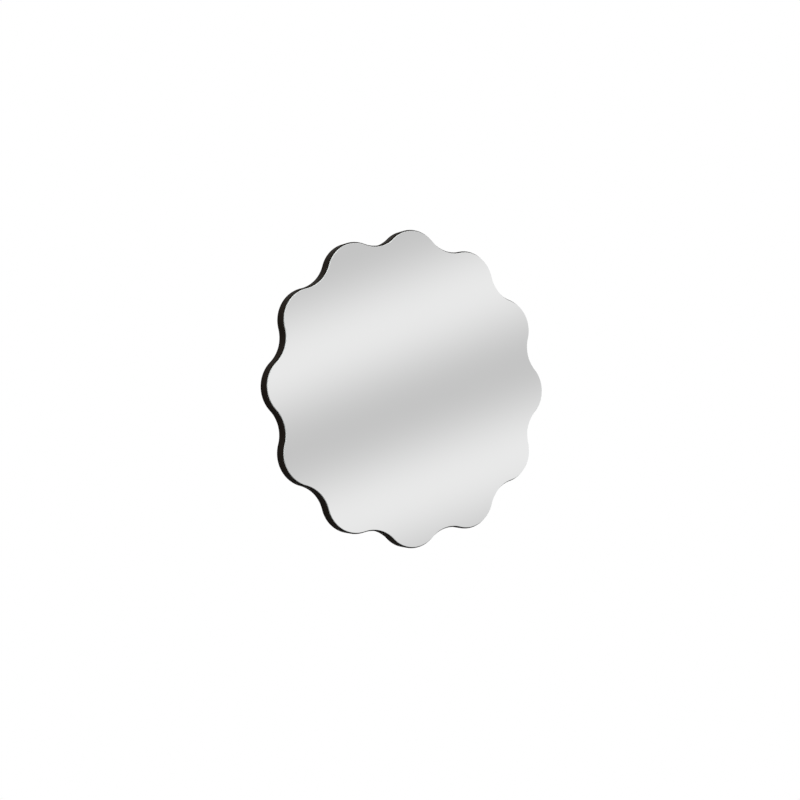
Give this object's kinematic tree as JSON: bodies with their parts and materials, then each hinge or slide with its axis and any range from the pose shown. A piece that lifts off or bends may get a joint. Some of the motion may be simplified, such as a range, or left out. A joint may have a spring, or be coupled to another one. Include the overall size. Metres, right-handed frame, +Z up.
{
  "type": "wall mirror",
  "caption": "Round wall mirror with a scalloped, petal-like edge: a frameless silvered pane bonded to a dark lacquered board, with swinging ring hangers and rubber bumpers behind.",
  "frame": {"origin": "the mirror's centre on the wall plane, which the bumpers' faces touch", "axes": "+Z up, +Y back into the wall, so the glass faces -Y, and +X to the right of someone who looks into the glass"},
  "size_m": [0.4998, 0.0285, 0.4998],
  "materials": {
    "clear_glass": "polished",
    "silver_coat": "polished",
    "foam_tape": "matte",
    "mirror_mastic": "matte",
    "black_lacquer": "satin",
    "zinc_strap": "satin",
    "zinc_wire": "satin",
    "zinc_screw": "satin",
    "bumper_rubber": "matte"
  },
  "bodies": {
    "mirror_panel": {"mirror_glass": "clear_glass", "silver_backing": "silver_coat", "tape_strip_1": "foam_tape", "tape_strip_2": "foam_tape", "tape_strip_3": "foam_tape", "tape_strip_4": "foam_tape", "tape_strip_5": "foam_tape", "mastic_bead_1": "mirror_mastic", "mastic_bead_2": "mirror_mastic", "mastic_bead_3": "mirror_mastic", "mastic_bead_4": "mirror_mastic", "backing_board": "black_lacquer", "hanger_strap_left": "zinc_strap", "hanger_strap_right": "zinc_strap", "hanger_screws": "zinc_screw", "bumper_upper_left": "bumper_rubber", "bumper_upper_right": "bumper_rubber", "bumper_lower_left": "bumper_rubber", "bumper_lower_right": "bumper_rubber"},
    "left_ring": {"hanger_ring_left": "zinc_wire"},
    "right_ring": {"hanger_ring_right": "zinc_wire"}
  },
  "joints": [
    {"name": "left_ring_swing", "type": "hinge", "parent": "mirror_panel", "child": "left_ring", "pos_m": [-0.13, -0.00378, 0.12], "axis": [1, 0, 0], "range_deg": [0, 173.9]},
    {"name": "right_ring_swing", "type": "hinge", "parent": "mirror_panel", "child": "right_ring", "pos_m": [0.13, -0.00378, 0.12], "axis": [1, 0, 0], "range_deg": [0, 173.9]}
  ]
}
